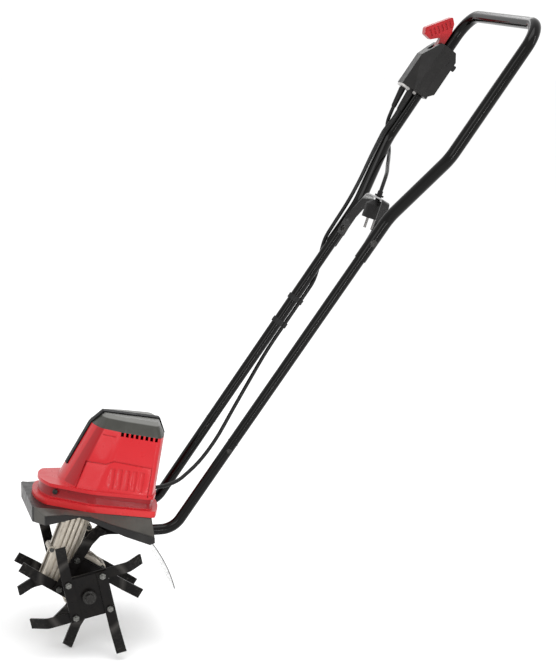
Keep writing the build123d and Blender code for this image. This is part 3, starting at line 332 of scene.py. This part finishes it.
def box_black():
    """Fine-textured black moulding with slight sheen on the corners."""
    f = Finish("box_black", (0.0045, 0.0040, 0.0038), 0.34, specular=0.22)
    f.tint(f.ramp(f.noise(55, 5), 0.45, 0.75), (0.012, 0.011, 0.010), 0.6)
    f.vary_roughness(f.noise(90, 4), 0.28, 0.40)
    return f.bump(f.noise(1800, 2), 0.00004, 0.3)


def plain_black():
    f = Finish("plain_black", (0.006, 0.006, 0.006), 0.45, specular=0.22)
    return f.vary_roughness(f.noise(120, 4), 0.36, 0.56).bump(f.noise(1500, 2), 0.0001, 0.5)


def light_plate():
    f = Finish("light_plate", (0.36, 0.35, 0.34), 0.42)
    f.tint(f.ramp(f.noise(70, 4), 0.45, 0.8), (0.24, 0.24, 0.23), 0.6)
    return f.bump(f.noise(1200, 2), 0.0001, 0.4)


def lever_red():
    """Red moulding that lets a little light through, darker towards its root."""
    f = Finish("lever_red", (0.33, 0.005, 0.009), 0.30, coat=0.12, specular=0.25)
    f.set("Subsurface Weight", 0.15)
    f.set("Subsurface Radius", (0.004, 0.001, 0.001))
    f.tint(f.ramp(f.noise(80, 3), 0.4, 0.7), (0.42, 0.010, 0.014), 0.5)
    low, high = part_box("switch_lever")
    f.tint(f.ramp(f.along((0, 0, 1)), low.z + 0.052, low.z + 0.030), (0.16, 0.002, 0.004), 0.85)
    return f.vary_roughness(f.noise(150, 3), 0.24, 0.38).bump(f.noise(900, 2), 0.0001, 0.3)


def cord_sheath():
    f = Finish("cord_sheath", (0.004, 0.004, 0.004), 0.36, specular=0.22)
    f.tint(f.ramp(f.noise(180, 4), 0.5, 0.8), (0.010, 0.009, 0.009), 0.5)
    return f.vary_roughness(f.noise(200, 3), 0.30, 0.46).bump(f.noise(600, 2), 0.0001, 0.3)


def rubber():
    f = Finish("rubber_black", (0.006, 0.0055, 0.0055), 0.55, specular=0.2)
    f.tint(f.ramp(f.noise(90, 5), 0.45, 0.8), (0.013, 0.012, 0.012), 0.5)
    return f.vary_roughness(f.noise(120, 4), 0.45, 0.65).bump(f.noise(1000, 3), 0.00016, 0.5)


def clear_sheet():
    """Flexible clear sheet with fine scuffs, and painted shade along its cut edges, which are made opaque."""
    f = Finish("clear_sheet", (0.84, 0.86, 0.85), 0.10)
    f.set("IOR", 1.46)
    low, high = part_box("rear_flap")
    half = (high.y - low.y) / 2
    # painted shade: dark, opaque cut edges where the sheet is seen edge-on
    edge = f.ramp(f.radius_from((low + high) / 2, ACROSS), half - 0.0045, half - 0.0035)
    f.tint(edge, (0.012, 0.012, 0.012), 0.95)
    f.blend_value("Transmission Weight", edge, 0.95, 0.0)
    return f.vary_roughness(f.noise(60, 5), 0.06, 0.20).bump(f.noise(25, 2), 0.0004, 0.2)


def pin_metal():
    f = Finish("pin_metal", (0.16, 0.155, 0.15), 0.3, metallic=1.0)
    return f.vary_roughness(f.noise(500, 3), 0.22, 0.45)


FINISHES = {
    tine_paint: ("tine_hub_near", "tine_hub_far", "tines_outer_near", "tines_outer_far",
                 "tines_inner_near", "tines_inner_far"),
    zinc: ("tine_bolts", "gear_housing_screws", "brush_springs", "button_spring", "lever_spring"),
    black_screw: ("hub_fasteners", "body_screws", "handle_bolts", "switch_box_screws"),
    ground_steel: ("tine_shaft", "drive_bearings", "worm", "armature_shaft", "lever_pin"),
    cast_aluminium: ("gear_housing_near", "gear_housing_far", "motor_lower_bracket"),
    bronze: ("tine_shaft_bearings", "worm_wheel", "brush_holders"),
    copper: ("field_coils", "armature_windings", "commutator"),
    laminations: ("motor_stator", "armature_core"),
    graphite: ("carbon_brushes",),
    tube_black: ("lower_tube_near", "lower_tube_far", "mid_tube_near", "mid_tube_far", "upper_handle"),
    strap: ("cable_bracket",),
    hood_red: ("motor_hood",),
    cover_grey: ("top_cover",),
    spine_black: ("front_spine",),
    guard_grey: ("tine_guard",),
    box_black: ("switch_box_near", "switch_box_far"),
    plain_black: ("motor_upper_bracket", "cooling_fan", "tube_clamps", "lock_off_button", "cable_clips"),
    light_plate: ("gland_plate", "switch_module"),
    lever_red: ("switch_lever",),
    rubber: ("cord_reliefs", "plug_body", "cable_grommet", "shaft_seals"),
    cord_sheath: ("motor_cable",),
    clear_sheet: ("rear_flap",),
    pin_metal: ("plug_pins",),
}


def dress_nodes():
    """Gives every node its finish, and returns the materials by the function that made them."""
    made = {}
    for finish, names in FINISHES.items():
        made[finish] = finish().material
        for name in names:
            mesh = NODES[name].data
            mesh.materials.clear()
            mesh.materials.append(made[finish])
    return made


# ---------------------------------------------------------------- soft edges
SOFT_EDGES = {
    "motor_hood": 0.0012, "top_cover": 0.0016, "tine_guard": 0.0012, "switch_box_near": 0.0012,
    "switch_box_far": 0.0012, "gear_housing_near": 0.0008, "gear_housing_far": 0.0008,
    "cable_bracket": 0.0004, "front_spine": 0.0008, "switch_lever": 0.0008,
}


def soften():
    """Rounds the moulded parts' hard edges a little, inside their outline."""
    for name, width in SOFT_EDGES.items():
        weld = NODES[name].modifiers.new("weld", "WELD")
        weld.merge_threshold = 0.00002
        bevel = NODES[name].modifiers.new("edge", "BEVEL")
        bevel.width = width
        bevel.segments = 2
        bevel.limit_method = "ANGLE"
        bevel.angle_limit = radians(28)
        bevel.harden_normals = False


# ---------------------------------------------------------------- the free power lead
def power_lead(material):
    curve = bpy.data.curves.new("power_cord", "CURVE")
    curve.dimensions = "3D"
    spline = curve.splines.new("NURBS")
    spline.points.add(len(LEAD_ROUTE) - 1)
    for point, place in zip(spline.points, LEAD_ROUTE):
        point.co = (*place, 1.0)
    spline.order_u = 3
    spline.use_endpoint_u = True
    spline.resolution_u = 12
    curve.bevel_depth = LEAD_RADIUS
    curve.bevel_resolution = 6
    curve.use_fill_caps = True
    curve.materials.append(material)
    lead = bpy.data.objects.new("power_cord", curve)
    bpy.context.scene.collection.objects.link(lead)
    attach(lead, "machine")
    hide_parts("power_lead")


# ---------------------------------------------------------------- studio
def ground():
    """Plain pale floor, round and wide enough to run out of sight."""
    turns, reach = 96, 14.0
    rim = [(reach * cos(2 * pi * k / turns), reach * sin(2 * pi * k / turns), 0) for k in range(turns)]
    mesh = bpy.data.meshes.new("studio_floor")
    mesh.from_pydata(rim, [], [tuple(range(turns))])
    floor = bpy.data.objects.new("studio_floor", mesh)
    bpy.context.scene.collection.objects.link(floor)
    mesh.materials.append(Finish("floor_white", (0.93, 0.93, 0.93), 0.9, specular=0.0).material)
    floor.location.z = -0.0005


def area_light(name, place, target, size, power, height=None):
    data = bpy.data.lights.new(name, "AREA")
    data.shape = "RECTANGLE"
    data.size, data.size_y = size, height or size
    data.energy = power
    lamp = bpy.data.objects.new(name, data)
    bpy.context.scene.collection.objects.link(lamp)
    lamp.location = place
    lamp.rotation_euler = (Vector(target) - Vector(place)).to_track_quat("-Z", "Y").to_euler()


def strip_light(name, place, aim, along, length, width, power):
    """Narrow light whose long side follows the given direction; out of sight itself."""
    area_light(name, place, aim, width, power, length)
    lamp = bpy.data.objects[name]
    back = (Vector(place) - Vector(aim)).normalized()
    side = Vector(along).cross(back).normalized()
    lamp.rotation_euler = Matrix((side, back.cross(side), back)).transposed().to_euler()
    lamp.visible_camera = False


def studio():
    ground()
    scene = bpy.context.scene
    scene.view_settings.view_transform = "Standard"
    world = bpy.data.worlds.new("studio_world")
    scene.world = world
    world.use_nodes = True
    world.node_tree.nodes["Background"].inputs["Color"].default_value = (1, 1, 1, 1)
    world.node_tree.nodes["Background"].inputs["Strength"].default_value = 1.08
    middle = (-0.1, 0, 0.45)
    area_light("top_light", (0.2, -0.8, 3.2), middle, 1.6, 26)
    area_light("key_light", (-1.9, -3.0, 2.4), middle, 1.3, 24, 2.0)
    area_light("side_light", (2.8, -1.6, 1.6), middle, 0.25, 14, 1.8)
    strip_light("tube_light", (0.48, -2.16, 0.50), (0.10, 0, 0.71), (0.58, 0, 0.815), 1.1, 0.10, 9)
    area_light("back_light", (0.3, 3.0, 2.4), middle, 2.4, 10, 0.5)


def camera():
    data = bpy.data.cameras.new("camera")
    data.lens = 110.6
    eye = bpy.data.objects.new("camera", data)
    bpy.context.scene.collection.objects.link(eye)
    eye.location = AXLE + Vector((-0.4899, -3.4982, 1.1388))
    eye.rotation_euler = (radians(90 - 11.232), 0, radians(-13.771))
    bpy.context.scene.camera = eye


finishes = dress_nodes()
soften()
power_lead(finishes[cord_sheath])
studio()
camera()
